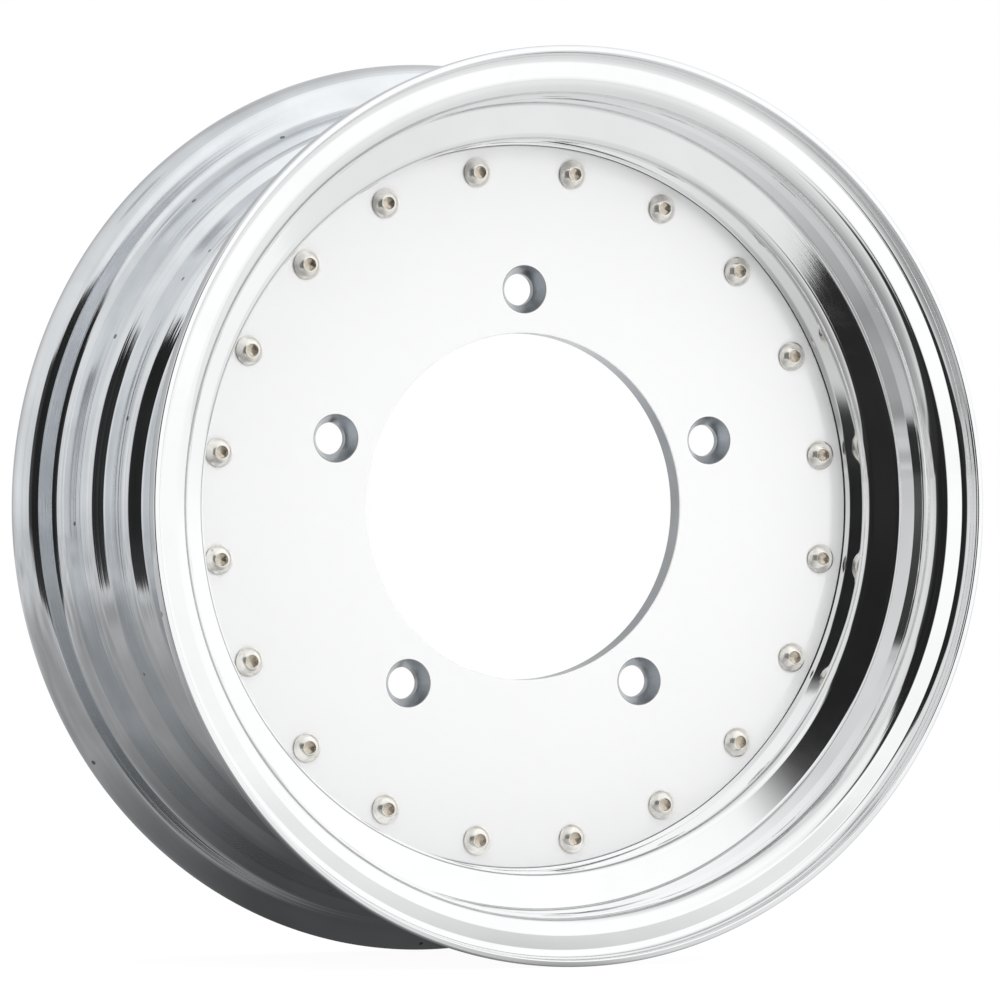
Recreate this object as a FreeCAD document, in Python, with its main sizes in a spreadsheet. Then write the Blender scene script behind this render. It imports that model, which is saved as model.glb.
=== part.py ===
import FreeCAD, Part
import math
import os
import Sketcher

# Spun aluminium wheel, millimetres.
# The wheel spins about Y, its outer face looks towards -Y and +Z is up.
# Axial stations are counted from the front lip, so the middle of the rim is at the origin.
# Two spun rim halves meet behind a flat centre disc that nests in the front half's well.
# The front half has one step between seat and well, and the rear half has two with a shelf between.
# Each bend at the beads and the lips is one flat band.

SIZES = [
    # whole wheel
    ("overall_width", 174.0),
    # spun sheet of both rim halves
    ("sheet_gauge", 3.2),
    ("well_radius", 170.3),
    ("mount_flange_width", 23.3),
    ("bead_rise", 20.5),
    ("lip_rise", 20.4),
    ("bead_bend", 3.8),
    # front half
    ("front_lip_bend", 2.7),
    ("front_lip_depth", 8.4),
    ("front_seat_taper", 3.3),
    ("front_step_setback", 37.0),
    ("front_step_draft", 8.5),
    ("front_well_taper", 3.0),
    # rear half
    ("rear_lip_bend", 4.7),
    ("rear_lip_depth", 9.0),
    ("rear_flange_lean", 6.4),
    ("rear_bead_rise", 21.9),
    ("rear_seat_taper", 8.2),
    ("rear_step_setback", 37.5),
    ("rear_step_draft", 28.0),
    ("rear_step_drop", 6.9),
    ("rear_shelf_length", 21.0),
    ("rear_shelf_taper", 2.8),
    ("rear_well_taper", 4.5),
    # centre disc
    ("disc_setback", 59.0),
    ("disc_thickness", 10.0),
    ("disc_edge_clearance", 0.3),
    ("hub_bore_diameter", 163.6),
    # wheel bolt holes
    ("lug_circle_diameter", 205.0),
    ("lug_count", 5),
    ("lug_hole_diameter", 15.0),
    ("lug_seat_diameter", 22.5),
    ("lug_seat_angle", 60.0),
    # valve hole through the front half, ahead of the disc
    ("valve_hole_diameter", 11.5),
    ("valve_hole_setback", 50.0),
]

doc = FreeCAD.newDocument("aluminium_wheel")
sheet = doc.addObject("Spreadsheet::Sheet", "dims")
for row, (alias, value) in enumerate(SIZES, start=1):
    sheet.set("A%d" % row, alias)
    sheet.set("B%d" % row, str(value))
    sheet.setAlias("B%d" % row, alias)
doc.recompute()


def value_of(expression):
    """Number that an expression over the sheet's sizes gives now."""
    result = sheet.evalExpression(expression)
    return float(getattr(result, "Value", result))


HALF = "dims.overall_width / 2"


def new_body(label):
    body = doc.addObject("PartDesign::Body", label)
    body.Label = label
    return body


def origin_feature(body, role):
    for feature in body.Origin.OriginFeatures:
        if feature.Role == role:
            return feature
    raise RuntimeError("no origin feature " + role)


def new_sketch(body, name, role, offset):
    """Sketch on one of the body's origin planes, moved within it by named sizes."""
    sketch = body.newObject("Sketcher::SketchObject", name)
    sketch.AttachmentSupport = (origin_feature(body, role), [""])
    sketch.MapMode = "FlatFace"
    for axis, expression in offset.items():
        sketch.setExpression("AttachmentOffset.Base." + axis, expression)
    return sketch


def fix_point(sketch, name, geo, pos, across, up):
    """Ties one sketch point to two sizes, counted from the sketch's origin."""
    for kind, tail, expression in (("DistanceX", "across", across), ("DistanceY", "up", up)):
        index = sketch.addConstraint(
            Sketcher.Constraint(kind, -1, 1, geo, pos, value_of(expression)))
        sketch.renameConstraint(index, name + "_" + tail)
        sketch.setExpression("Constraints." + name + "_" + tail, expression)


def closed_profile(sketch, corners):
    """Closed outline through named corners, each given by two expressions."""
    points = [FreeCAD.Vector(value_of(a), value_of(u), 0) for _, a, u in corners]
    count = len(points)
    for i in range(count):
        sketch.addGeometry(Part.LineSegment(points[i], points[(i + 1) % count]), False)
    for i in range(count):
        sketch.addConstraint(Sketcher.Constraint("Coincident", i, 2, (i + 1) % count, 1))
    for i, (name, across, up) in enumerate(corners):
        fix_point(sketch, name, i, 1, across, up)
    return count


def axis_line(sketch, start, end):
    """Construction line that a revolve or groove turns about."""
    points = [FreeCAD.Vector(value_of(p[0]), value_of(p[1]), 0) for p in (start, end)]
    geo = sketch.addGeometry(Part.LineSegment(*points), True)
    fix_point(sketch, "axis_start", geo, 1, *start)
    fix_point(sketch, "axis_end", geo, 2, *end)


def revolve(body, sketch, name, axis="V_Axis"):
    feature = body.newObject("PartDesign::Revolution", name)
    feature.Profile = sketch
    feature.ReferenceAxis = (sketch, [axis])
    feature.Angle = 360
    return feature


def groove(body, sketch, name, axis):
    feature = body.newObject("PartDesign::Groove", name)
    feature.Profile = sketch
    feature.ReferenceAxis = (sketch, [axis])
    feature.Angle = 360
    return feature


def pocket_through(body, sketch, name):
    feature = body.newObject("PartDesign::Pocket", name)
    feature.Profile = sketch
    feature.Type = "ThroughAll"
    return feature


def polar(body, originals, name, count):
    """Even ring of copies about the wheel's own axis."""
    feature = body.newObject("PartDesign::PolarPattern", name)
    feature.Originals = originals
    feature.Axis = (origin_feature(body, "Y_Axis"), [""])
    feature.Angle = 360
    feature.setExpression("Occurrences", count)
    body.Tip = feature
    return feature


def circle_sketch(sketch, across, up, diameter):
    centre = FreeCAD.Vector(value_of(across), value_of(up), 0)
    geo = sketch.addGeometry(
        Part.Circle(centre, FreeCAD.Vector(0, 0, 1), value_of(diameter) / 2), False)
    index = sketch.addConstraint(Sketcher.Constraint("Diameter", geo, value_of(diameter)))
    sketch.renameConstraint(index, "hole_diameter")
    sketch.setExpression("Constraints.hole_diameter", diameter)
    fix_point(sketch, "hole", geo, 3, across, up)


# Stations of the clamped stack, from the front lip.
DISC_FRONT = "dims.disc_setback"
DISC_BACK = "(dims.disc_setback + dims.disc_thickness)"
STACK_BACK = "(dims.disc_setback + dims.disc_thickness + 2 * dims.sheet_gauge)"
GAUGE = "dims.sheet_gauge"
# Radii of the section, each counted from the one inside it.
HUB_EDGE = "(dims.well_radius - dims.mount_flange_width)"
LIP = "(dims.well_radius + dims.bead_rise + dims.lip_rise)"
# A flat band outside a bend lies one gauge from the band inside it.
AROUND = "(2 - sqrt(2)) * dims.sheet_gauge"


def outside(angle_in, angle_out):
    """Shift from a corner on the air side to the same corner one gauge outside it.

    Angles are those of the two walls' normals, from 0 for a cylinder to 90 for a face across the axis.
    """
    middle = "((" + angle_in + " + " + angle_out + ") / 2)"
    share = GAUGE + " / cos((" + angle_in + " - " + angle_out + ") / 2)"
    return share + " * cos(" + middle + ")", share + " * sin(" + middle + ")"


def foot_of_step(top_radius, top_station, draft, flange, taper):
    """Corner where a step with draft, that starts at its top, comes down to the tapered well wall."""
    lean, slope = "tan(" + draft + ")", "tan(" + taper + ")"
    radius = ("((dims.well_radius + (" + flange + " - (" + top_station + ") - (" + top_radius + ") * "
              + lean + ") * " + slope + ") / (1 - " + lean + " * " + slope + "))")
    station = "((" + top_station + ") + ((" + top_radius + ") - " + radius + ") * " + lean + ")"
    return radius, station


def rim_half(label, front):
    """One spun half: mounting flange, well, one or two steps, tapered bead seat, flange and rolled lip.

    Its air side is the visible inside of the wheel, and its tyre side lies one gauge outside it.
    Stations of the rear half are counted forward from the rear lip and mirrored.
    """
    own = "dims.front_" if front else "dims.rear_"
    taper, draft, step = own + "well_taper", own + "step_draft", own + "step_setback"
    seat_taper, lip_at = own + "seat_taper", own + "lip_depth"
    across, lean = "90", "(90 - " + draft + ")"
    if front:
        flange = DISC_BACK
        bead = "(dims.well_radius + dims.bead_rise)"
        bead_at, rise = lip_at, across
    else:
        flange = "(dims.overall_width - " + STACK_BACK + ")"
        bead = "(dims.well_radius + dims.rear_bead_rise)"
        bead_at = "(" + lip_at + " + (" + LIP + " - " + bead + ") * tan(dims.rear_flange_lean))"
        rise = "(90 - dims.rear_flange_lean)"
    seat = "(" + bead + " - (" + step + " - " + bead_at + ") * tan(" + seat_taper + "))"

    # name, radius and station of each corner, the normal's angle of the wall that follows it, and how
    # far its flat band reaches along both walls on the air side and on the tyre side
    plain = (None, None)
    path = [("hub", HUB_EDGE, flange, across, plain), ("well", "dims.well_radius", flange, taper, plain)]
    if front:
        path.append(("step",) + foot_of_step(seat, step, draft, flange, taper) + (lean, plain))
    else:
        ledge = "(" + seat + " - dims.rear_step_drop)"
        ledge_at = "(" + step + " + dims.rear_step_drop * tan(" + draft + "))"
        shelf = "(" + ledge + " - dims.rear_shelf_length * tan(dims.rear_shelf_taper))"
        shelf_at = "(" + ledge_at + " + dims.rear_shelf_length)"
        path.append(("step",) + foot_of_step(shelf, shelf_at, draft, flange, taper) + (lean, plain))
        path.append(("shelf", shelf, shelf_at, "dims.rear_shelf_taper", plain))
        path.append(("ledge", ledge, ledge_at, lean, plain))
    path.append(("seat", seat, step, seat_taper, plain))
    path.append(("face", bead, bead_at, rise, ("(dims.bead_bend + " + AROUND + ")", "dims.bead_bend")))
    lip_bend = own + "lip_bend"
    path.append(("lip", LIP, lip_at, "0", (lip_bend, "(" + lip_bend + " + " + AROUND + ")")))
    path.append(("tip", LIP, "0", "0", plain))

    def at(station):
        return station if front else "dims.overall_width - (" + station + ")"

    air, tyre = [], []
    earlier = across
    for name, radius, station, angle, (air_band, tyre_band) in path:
        out, along = outside(earlier, angle)
        for side, corners, r, s, band in (
                ("air_", air, radius, station, air_band),
                ("tyre_", tyre, radius + " + " + out, station + " + " + along, tyre_band)):
            if band is None:
                corners.append((side + name, r, at(s)))
                continue
            corners.append((side + name + "_start", r + " - " + band + " * sin(" + earlier + ")",
                            at(s + " + " + band + " * cos(" + earlier + ")")))
            corners.append((side + name + "_end", r + " + " + band + " * sin(" + angle + ")",
                            at(s + " - " + band + " * cos(" + angle + ")")))
        earlier = angle

    body = new_body(label)
    sketch = new_sketch(body, label + "_section", "XY_Plane", {"y": "-" + HALF})
    closed_profile(sketch, air + tyre[::-1])
    revolve(body, sketch, label + "_spun")
    doc.recompute()
    return body


outer = rim_half("outer_rim_half", True)
inner = rim_half("inner_rim_half", False)

# Valve hole, radial, in the well of the front half between the disc and the step.
before = outer.Tip.Shape.Volume
valve = new_sketch(outer, "valve_hole_section", "YZ_Plane", {"x": "-" + HALF})
circle_sketch(valve, "dims.valve_hole_setback", "0", "dims.valve_hole_diameter")
valve_hole = pocket_through(outer, valve, "valve_hole")
outer.Tip = valve_hole
doc.recompute()
if valve_hole.Shape.Volume > before - 1.0:
    raise RuntimeError("valve hole cuts nothing")

# Centre disc: a flat plate that nests in the front half's well, with a large open hub bore.
disc = new_body("center_disc")
disc_radius = "(dims.well_radius - dims.disc_edge_clearance)"
bore_radius = "(dims.hub_bore_diameter / 2)"
disc_section = new_sketch(disc, "disc_section", "XY_Plane", {"y": "-" + HALF})
disc_corners = [
    ("bore_front", bore_radius, DISC_FRONT),
    ("edge_front", disc_radius, DISC_FRONT),
    ("edge_back", disc_radius, DISC_BACK),
    ("bore_back", bore_radius, DISC_BACK),
]
closed_profile(disc_section, disc_corners)
revolve(disc, disc_section, "disc_plate")
doc.recompute()

# Wheel bolt holes: a conical seat from the front face, then a straight clearance hole.
lug_radius = "(dims.lug_circle_diameter / 2)"
seat_depth = ("((dims.lug_seat_diameter - dims.lug_hole_diameter) / 2"
              " / tan(dims.lug_seat_angle / 2))")
before = disc.Tip.Shape.Volume
lug = new_sketch(disc, "lug_section", "YZ_Plane", {"x": "-" + HALF})
closed_profile(lug, [
    ("mouth_axis", DISC_FRONT, lug_radius),
    ("mouth_rim", DISC_FRONT, lug_radius + " + dims.lug_seat_diameter / 2"),
    ("seat_end", DISC_FRONT + " + " + seat_depth, lug_radius + " + dims.lug_hole_diameter / 2"),
    ("back_rim", DISC_BACK, lug_radius + " + dims.lug_hole_diameter / 2"),
    ("back_axis", DISC_BACK, lug_radius),
])
axis_line(lug, (DISC_FRONT, lug_radius), (DISC_BACK, lug_radius))
lug_cut = groove(disc, lug, "lug_seat", "Axis0")
doc.recompute()
if lug_cut.Shape.Volume > before - 1.0:
    raise RuntimeError("lug seat cuts nothing")
polar(disc, [lug_cut], "lug_ring", "dims.lug_count")
doc.recompute()


NODES = [disc, outer, inner]

for item in doc.Objects:
    if "Invalid" in item.State or "Error" in item.State:
        raise RuntimeError("%s failed: %s" % (item.Label, item.State))
for node in NODES:
    if node.Shape.isNull() or not node.Shape.isValid():
        raise RuntimeError("bad shape: " + node.Label)

os.makedirs("parts", exist_ok=True)
for node in NODES:
    node.Shape.exportStep("parts/" + node.Label + ".step")
    box = node.Shape.BoundBox
    print("%s: %d solids, volume %.0f, x %.1f..%.1f, y %.1f..%.1f, z %.1f..%.1f" % (
        node.Label, len(node.Shape.Solids), node.Shape.Volume,
        box.XMin, box.XMax, box.YMin, box.YMax, box.ZMin, box.ZMax))
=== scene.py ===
import math
from collections import namedtuple

import bpy
import numpy as np
from mathutils import Matrix, Vector


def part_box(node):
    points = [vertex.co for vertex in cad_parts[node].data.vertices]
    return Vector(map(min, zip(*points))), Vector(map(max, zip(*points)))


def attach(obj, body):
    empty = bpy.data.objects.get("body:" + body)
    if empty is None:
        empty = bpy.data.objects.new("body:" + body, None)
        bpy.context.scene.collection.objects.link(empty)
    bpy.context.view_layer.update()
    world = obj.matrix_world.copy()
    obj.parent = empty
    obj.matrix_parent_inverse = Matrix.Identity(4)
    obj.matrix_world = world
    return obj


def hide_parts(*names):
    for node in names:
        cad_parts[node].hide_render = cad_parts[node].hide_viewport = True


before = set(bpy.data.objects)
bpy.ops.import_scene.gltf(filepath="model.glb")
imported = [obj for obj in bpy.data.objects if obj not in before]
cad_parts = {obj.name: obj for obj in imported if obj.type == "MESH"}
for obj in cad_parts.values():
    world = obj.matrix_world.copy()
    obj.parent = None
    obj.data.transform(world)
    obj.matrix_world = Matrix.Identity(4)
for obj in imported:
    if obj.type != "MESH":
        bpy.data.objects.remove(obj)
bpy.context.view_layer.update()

bl_info = {
    "name": "Spun aluminium wheel",
    "version": (1, 0, 0),
    "blender": (4, 5, 0),
    "location": "3D View > Sidebar > Wheel",
    "description": "Polished two-piece rim, flat centre disc, clamping screws and a plain studio",
    "category": "Object",
}

# The wheel spins about Y, its outer face looks towards -Y and +Z is up.
# Stations are depths behind the front lip, so y = station - half the overall width.


def length_prop(label, text, metres):
    """A size in metres that a user may change."""
    return bpy.props.FloatProperty(
        name=label, description=text, default=metres, min=0.0, unit="LENGTH", precision=4)


def angle_prop(label, text, degrees):
    """An angle, kept in radians."""
    return bpy.props.FloatProperty(
        name=label, description=text, default=math.radians(degrees), subtype="ANGLE", unit="ROTATION")


def colour_prop(label, text, rgb):
    """A colour in scene-linear values."""
    return bpy.props.FloatVectorProperty(
        name=label, description=text, default=rgb, size=3, min=0.0, max=1.0, subtype="COLOR")


def factor_prop(label, text, value, top=1.0):
    """A plain number."""
    return bpy.props.FloatProperty(
        name=label, description=text, default=value, min=0.0, max=top, subtype="FACTOR")


class WheelSizes(bpy.types.PropertyGroup):
    """Sizes of the wheel's pieces."""

    overall_width: length_prop("Overall width", "From lip to lip", 0.174)
    gauge: length_prop("Sheet gauge", "Thickness of both spun halves", 0.0032)
    lip_radius: length_prop("Lip radius", "Inside radius of both lips", 0.2112)
    lip_round: length_prop("Lip edge round", "Rounding of the lips' cut edges", 0.0008)
    well_radius: length_prop("Well radius", "Inside radius of the wells at the mounting flanges", 0.1703)
    front_bead: length_prop("Front bead radius", "Inside radius of the front seat at its flange", 0.19077)
    front_lip_depth: length_prop("Front lip depth", "From the lip's edge to the flange face", 0.00837)
    front_lip_bend: length_prop("Front lip bend", "Inside radius of the front lip's roll", 0.00453)
    front_bead_bend: length_prop("Front bead bend", "Tyre-side radius of the front bead corner", 0.00654)
    front_bend: length_prop("Front bends", "Inside radius of the front step's bends", 0.00213)
    front_seat_taper: angle_prop("Front seat taper", "Taper of the seat beside the flange", 0.52)
    front_knee: length_prop("Front knee", "Length of the steeper seat beside the step", 0.01122)
    front_knee_taper: angle_prop("Front knee taper", "Taper of the seat beside the step", 7.63)
    front_step: length_prop("Front step setback", "From the front lip to the step", 0.03704)
    front_draft: angle_prop("Front step draft", "Lean of the front step", 8.51)
    front_taper: angle_prop("Front well taper", "Taper of the front well wall", 0.61)
    mouth_gap: length_prop("Mouth gap", "Gap between the disc's edge and the well", 0.00015)
    mouth_length: length_prop("Mouth length", "Length of the flare ahead of the disc", 0.00364)
    mouth_taper: angle_prop("Mouth taper", "Flare of the well ahead of the disc", 15.85)
    rear_bead: length_prop("Rear bead radius", "Inside radius of the rear seat at its flange", 0.19224)
    rear_lip_depth: length_prop("Rear lip depth", "From the lip's edge to the flange's top", 0.00896)
    rear_lip_bend: length_prop("Rear lip bend", "Inside radius of the rear lip's roll", 0.00798)
    rear_lean: angle_prop("Rear flange lean", "Lean of the rear flange", 6.37)
    rear_bead_bend: length_prop("Rear bead bend", "Tyre-side radius of the rear bead corner", 0.00668)
    rear_bend: length_prop("Rear bends", "Inside radius of the rear steps' bends", 0.0011)
    rear_seat_taper: angle_prop("Rear seat taper", "Taper of the rear seat", 8.23)
    rear_step: length_prop("Rear step setback", "From the rear lip to the upper step", 0.03755)
    rear_drop: length_prop("Rear upper drop", "Height of the upper step", 0.0069)
    rear_draft: angle_prop("Rear upper draft", "Lean of the upper step", 29.9)
    shelf_length: length_prop("Shelf length", "Length of the shelf between the rear steps", 0.02103)
    shelf_taper: angle_prop("Shelf taper", "Taper of the shelf", 2.81)
    low_drop: length_prop("Rear lower drop", "Height of the lower step", 0.00764)
    low_draft: angle_prop("Rear lower draft", "Lean of the lower step", 27.2)
    hub_edge: length_prop("Flange inner radius", "Inner edge of the mounting flanges", 0.147)
    disc_setback: length_prop("Disc setback", "From the front lip to the disc's face", 0.059)
    disc_thickness: length_prop("Disc thickness", "Thickness of the centre disc", 0.010)
    disc_radius: length_prop("Disc radius", "Radius of the centre disc", 0.1705)
    bore_radius: length_prop("Bore radius", "Radius of the open hub bore", 0.0818)
    lug_circle: length_prop("Bolt circle radius", "Radius of the wheel bolt circle", 0.1025)
    lug_seat: length_prop("Bolt seat radius", "Mouth radius of the conical bolt seats", 0.01125)
    lug_hole: length_prop("Bolt hole radius", "Radius of the straight bolt holes", 0.0075)
    screw_circle: length_prop("Screw circle radius", "Radius of the clamping screw circle", 0.159)
    screw_radius: length_prop("Screw radius", "Outside radius of the screw threads", 0.004)
    screw_length: length_prop("Screw length", "Length under the head", 0.028)
    head_radius: length_prop("Head radius", "Radius of the button heads", 0.0069)
    head_height: length_prop("Head height", "Height of the button heads", 0.0038)
    socket_flats: length_prop("Socket across flats", "Hexagon socket width", 0.0058)
    nut_flats: length_prop("Nut across flats", "Hexagon nut width", 0.013)
    nut_height: length_prop("Nut height", "Height of the flange nuts", 0.008)
    valve_radius: length_prop("Valve hole radius", "Radius of the valve hole", 0.00575)
    valve_setback: length_prop("Valve hole setback", "From the front lip to the valve hole", 0.050)
    screw_count: bpy.props.IntProperty(
        name="Screws", description="Clamping screws round the disc", default=20, min=3)
    lug_count: bpy.props.IntProperty(
        name="Wheel bolts", description="Conical bolt seats in the disc", default=5, min=3)


class WheelFinish(bpy.types.PropertyGroup):
    """Colours and polish of the wheel's metals."""

    rim_colour: colour_prop("Rim", "Mirror-polished spun aluminium", (0.93, 0.935, 0.94))
    spun_colour: colour_prop("Rim, tyre side", "Spun aluminium with tool lines", (0.872, 0.898, 0.925))
    disc_colour: colour_prop("Disc", "Polished aluminium plate", (0.95, 0.952, 0.953))
    # Cut faces: machined aluminium, darker than the rest as painted shade in the bores, bolt seats and valve
    # hole
    cut_colour: colour_prop("Cut faces", "Machined aluminium in the bores", (0.55, 0.575, 0.60))
    screw_colour: colour_prop("Screws", "Bright nickel plate", (0.96, 0.935, 0.885))
    # Sockets: darker, browner nickel, painted shade in the hexagon recesses
    socket_colour: colour_prop("Sockets", "Nickel plate with polish left in it", (0.72, 0.65, 0.54))
    nut_colour: colour_prop("Nuts", "Zinc plate", (0.62, 0.62, 0.60))
    sealant_colour: colour_prop("Sealant", "Cured silicone", (0.52, 0.52, 0.50))


class StudioLook(bpy.types.PropertyGroup):
    """Light, floor and camera."""

    light_level: factor_prop("Light level", "Radiance of the bright room", 1.08, 2.0)
    ceiling_level: factor_prop("Ceiling level", "Brightness of the room overhead", 0.64)
    # The floor levels below are painted on the glow that metal sees: painted shadow under the wheel, painted
    # shade to the left, painted light to the right.
    painted_floor_shadow: factor_prop("Floor near", "Brightness of the floor under the wheel, as metal sees it", 0.06)
    floor_left: factor_prop("Floor left", "Brightness of the floor to the left, as metal sees it", 0.60)
    floor_right: factor_prop("Floor right", "Brightness of the floor to the right, as metal sees it", 0.86)
    screen_left: bpy.props.FloatProperty(
        name="Screen left", description="Left edge of the dark screen, in degrees", default=-49.0)
    screen_right: bpy.props.FloatProperty(
        name="Screen right", description="Right edge of the dark screen, in degrees", default=17.5)
    lens: bpy.props.FloatProperty(
        name="Lens", description="Focal length on a 36 mm sensor", default=285.8, unit="CAMERA")
    camera_distance: length_prop("Camera distance", "From the disc's face", 3.746)
    camera_yaw: angle_prop("Camera yaw", "How far the camera stands to the left", 25.31)
    camera_pitch: angle_prop("Camera pitch", "How far the camera stands above", -0.25)
    aim_left: length_prop("Aim left", "How far left of the disc's centre the camera aims", 0.01157)
    aim_up: length_prop("Aim up", "How far above the disc's centre the camera aims", 0.00304)


# Mesh helpers


def piece_from(name, points, quads, normals=None, marks=None, materials=(), smooth_angle=None):
    """Mesh object at the origin from whole arrays: points, four-cornered faces and exact normals.

    marks gives each face its material's number. Faces are turned where they face against the normals.
    A quad whose last two corners are equal is a triangle.
    """
    if normals is not None:
        a, b, c, d = (points[quads[:, k]] for k in range(4))
        facing = np.einsum("ij,ij->i", np.cross(c - a, d - b), normals[quads].sum(axis=1))
        flip = facing < 0
        quads = np.where(flip[:, None], quads[:, [1, 0, 3, 2]], quads)
        fan = quads[:, 0] == quads[:, 1]
        quads = np.where(fan[:, None], quads[:, [2, 3, 0, 1]], quads)
    tri = quads[:, 2] == quads[:, 3]
    sizes = np.where(tri, 3, 4)
    keep = np.ones(quads.shape, bool)
    keep[tri, 3] = False
    mesh = bpy.data.meshes.new(name)
    mesh.vertices.add(len(points))
    mesh.vertices.foreach_set("co", np.ascontiguousarray(points, np.float32).ravel())
    mesh.loops.add(int(sizes.sum()))
    mesh.loops.foreach_set("vertex_index", quads[keep].astype(np.int32))
    mesh.polygons.add(len(quads))
    starts = np.concatenate(([0], np.cumsum(sizes)[:-1])).astype(np.int32)
    mesh.polygons.foreach_set("loop_start", starts)
    if marks is not None:
        mesh.polygons.foreach_set("material_index", marks.astype(np.int32))
    for material in materials:
        mesh.materials.append(material)
    mesh.update(calc_edges=True)
    mesh.validate()
    mesh.polygons.foreach_set("use_smooth", np.ones(len(mesh.polygons), bool))
    if normals is not None:
        mesh.normals_split_custom_set_from_vertices(normals)
    elif smooth_angle is not None:
        mesh.set_sharp_from_angle(angle=smooth_angle)
    mesh.update()
    thing = bpy.data.objects.new(name, mesh)
    bpy.context.scene.collection.objects.link(thing)
    return thing


def settle(thing, slot, *nodes):
    """Lets a piece ride on the wheel and hides the solids that it stands for."""
    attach(thing, "root")
    if nodes:
        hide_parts(*nodes)
    return thing


def rounded_corners(corners, radii, count):
    """Points and outward normals of a closed outline whose corners are arcs.

    For a corner with unit edges in and out, half turn h and radius r, the arc starts r tan(h) before
    the corner and sweeps twice h about a centre on the inner side. All corners are worked out at once.
    Returns arrays of shape corners x count x 2. The outline runs with its inside on its left.
    """
    ahead = np.roll(corners, -1, axis=0) - corners
    ahead /= np.linalg.norm(ahead, axis=1)[:, None]
    behind = np.roll(ahead, 1, axis=0)
    turn = np.arctan2(
        behind[:, 0] * ahead[:, 1] - behind[:, 1] * ahead[:, 0], (behind * ahead).sum(axis=1))
    start = corners - behind * (radii * np.tan(np.abs(turn) / 2))[:, None]
    left = np.stack([-behind[:, 1], behind[:, 0]], axis=1)
    side = np.sign(turn)
    centre = start + left * (side * radii)[:, None]
    sweep = turn[:, None] * np.linspace(0.0, 1.0, count)[None, :]
    cos, sin = np.cos(sweep), np.sin(sweep)
    right = -left
    normal = np.stack([
        right[:, None, 0] * cos - right[:, None, 1] * sin,
        right[:, None, 0] * sin + right[:, None, 1] * cos], axis=2)
    points = centre[:, None, :] + normal * (side * radii)[:, None, None]
    return points, normal


def lathe(section, section_normals, steps):
    """Section of (radius, y) turned about Y: x = r cos a, z = r sin a, for evenly spaced angles a."""
    a = np.arange(steps) * (2 * np.pi / steps)
    ring = np.stack([np.cos(a), np.zeros(steps), np.sin(a)], axis=1)
    axis = np.array([0.0, 1.0, 0.0])
    points = section[:, None, 0:1] * ring[None] + section[:, None, 1:2] * axis
    normals = section_normals[:, None, 0:1] * ring[None] + section_normals[:, None, 1:2] * axis
    i, j = np.meshgrid(np.arange(len(section)), np.arange(steps), indexing="ij")
    down = (i + 1) % len(section)
    along = (j + 1) % steps
    quads = np.stack([i * steps + j, i * steps + along, down * steps + along, down * steps + j], axis=2)
    return points.reshape(-1, 3), normals.reshape(-1, 3), quads


def window(low, high, first, last, steps):
    """Grid numbers round a window of a lathe grid, once round its edge."""
    columns = np.arange(first, last + 1)
    rows = np.arange(low, high + 1) if high > low else np.arange(low, high - 1, -1)
    i = np.concatenate([
        np.full(len(columns) - 1, low), rows[:-1], np.full(len(columns) - 1, high), rows[::-1][:-1]])
    j = np.concatenate([
        columns[:-1], np.full(len(rows) - 1, last), columns[::-1][:-1], np.full(len(rows) - 1, first)])
    return i * steps + j % steps


def bands(loops):
    """Quads between loops of equally many points; each row of loops goes once round."""
    here, there = loops[:-1], loops[1:]
    return np.stack([
        here, np.roll(here, -1, axis=1), np.roll(there, -1, axis=1), there], axis=2).reshape(-1, 4)


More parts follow.
